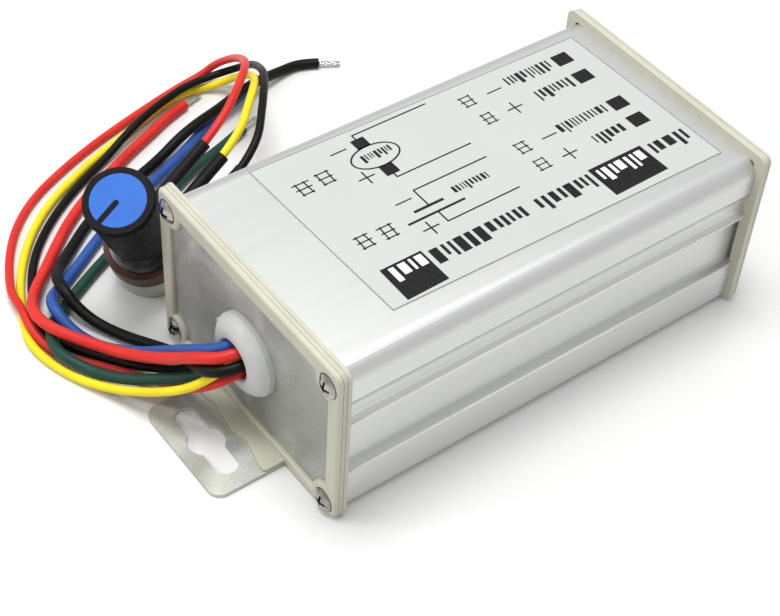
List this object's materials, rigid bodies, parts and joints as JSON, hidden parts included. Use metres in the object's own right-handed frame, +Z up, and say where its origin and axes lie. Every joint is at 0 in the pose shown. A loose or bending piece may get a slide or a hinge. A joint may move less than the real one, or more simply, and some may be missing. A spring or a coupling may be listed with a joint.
{
  "type": "electronic speed controller",
  "caption": "Aluminium box speed controller for DC motors, with flying leads and a separate wired potentiometer and knob.",
  "frame": {"origin": "centre of the flat underside of the case, on the surface it stands on", "axes": "+X along the case from the end with the cable exit to the plain end; +Z up, out of the label; +Y to the left when looking along +X"},
  "size_m": [0.147, 0.1252, 0.04],
  "materials": {
    "aluminium_case": "satin anodised",
    "cream_plastic": "moulded satin",
    "galvanised_plate": "galvanised",
    "plated_screw": "nickel plated",
    "white_nylon": "satin",
    "label_film": "printed polyester film",
    "black_epoxy": "matte",
    "grey_silicone": "matte",
    "clamp_aluminium": "mill finish",
    "capacitor_sleeve": "shrink sleeve",
    "resistor_tan": "lacquered",
    "capacitor_film": "dipped",
    "green_board": "solder mask",
    "black_knob": "moulded knurl",
    "blue_cap": "satin",
    "shaft_steel": "turned",
    "pot_steel": "plated",
    "brown_phenolic": "phenolic",
    "pot_cover_steel": "plated",
    "carbon_track": "carbon film",
    "black_sleeve": "heat shrink",
    "red_wire": "PVC",
    "black_wire": "PVC",
    "blue_wire": "PVC",
    "green_wire": "PVC",
    "yellow_wire": "PVC",
    "tinned_copper": "tinned strands"
  },
  "bodies": {
    "case": {"lower_shell": "aluminium_case", "upper_shell": "aluminium_case", "front_bezel": "cream_plastic", "rear_bezel": "cream_plastic", "front_end_plate": "galvanised_plate", "rear_end_plate": "galvanised_plate", "front_screws": "plated_screw", "rear_screws": "plated_screw", "cable_grommet": "white_nylon", "label": "label_film", "power_transistors": "black_epoxy", "freewheel_diode": "black_epoxy", "insulating_pad": "grey_silicone", "clamp_bar": "clamp_aluminium", "clamp_screws": "plated_screw", "bulk_capacitors": "capacitor_sleeve", "timer_ic": "black_epoxy", "voltage_regulator": "black_epoxy", "resistors": "resistor_tan", "small_capacitors": "capacitor_film", "circuit_board": "green_board", "cable_tie": "white_nylon", "pot_front_plate": "pot_steel", "pot_wafer": "brown_phenolic", "pot_cover": "pot_cover_steel", "resistive_track": "carbon_track", "bushing_nut": "plated_screw", "lock_washer": "plated_screw", "pot_terminals": "plated_screw", "terminal_sleeves": "black_sleeve", "power_lead_red": "red_wire", "power_lead_black": "black_wire", "motor_lead_blue": "blue_wire", "motor_lead_green": "green_wire", "pot_lead_red": "red_wire", "pot_lead_yellow": "yellow_wire", "pot_lead_black": "black_wire", "tinned_end_red": "tinned_copper", "tinned_end_black": "tinned_copper", "tinned_end_blue": "tinned_copper", "tinned_end_green": "tinned_copper"},
    "knob": {"knob": "black_knob", "knob_cap": "blue_cap", "pot_shaft": "shaft_steel", "wiper_carrier": "white_nylon"}
  },
  "joints": [
    {"name": "knob_turn", "type": "hinge", "parent": "case", "child": "knob", "pos_m": [-0.05008, 0.04229, 0.0136], "axis": [-0.35, -0.26, 0.9], "range_deg": [-156, 144]}
  ]
}
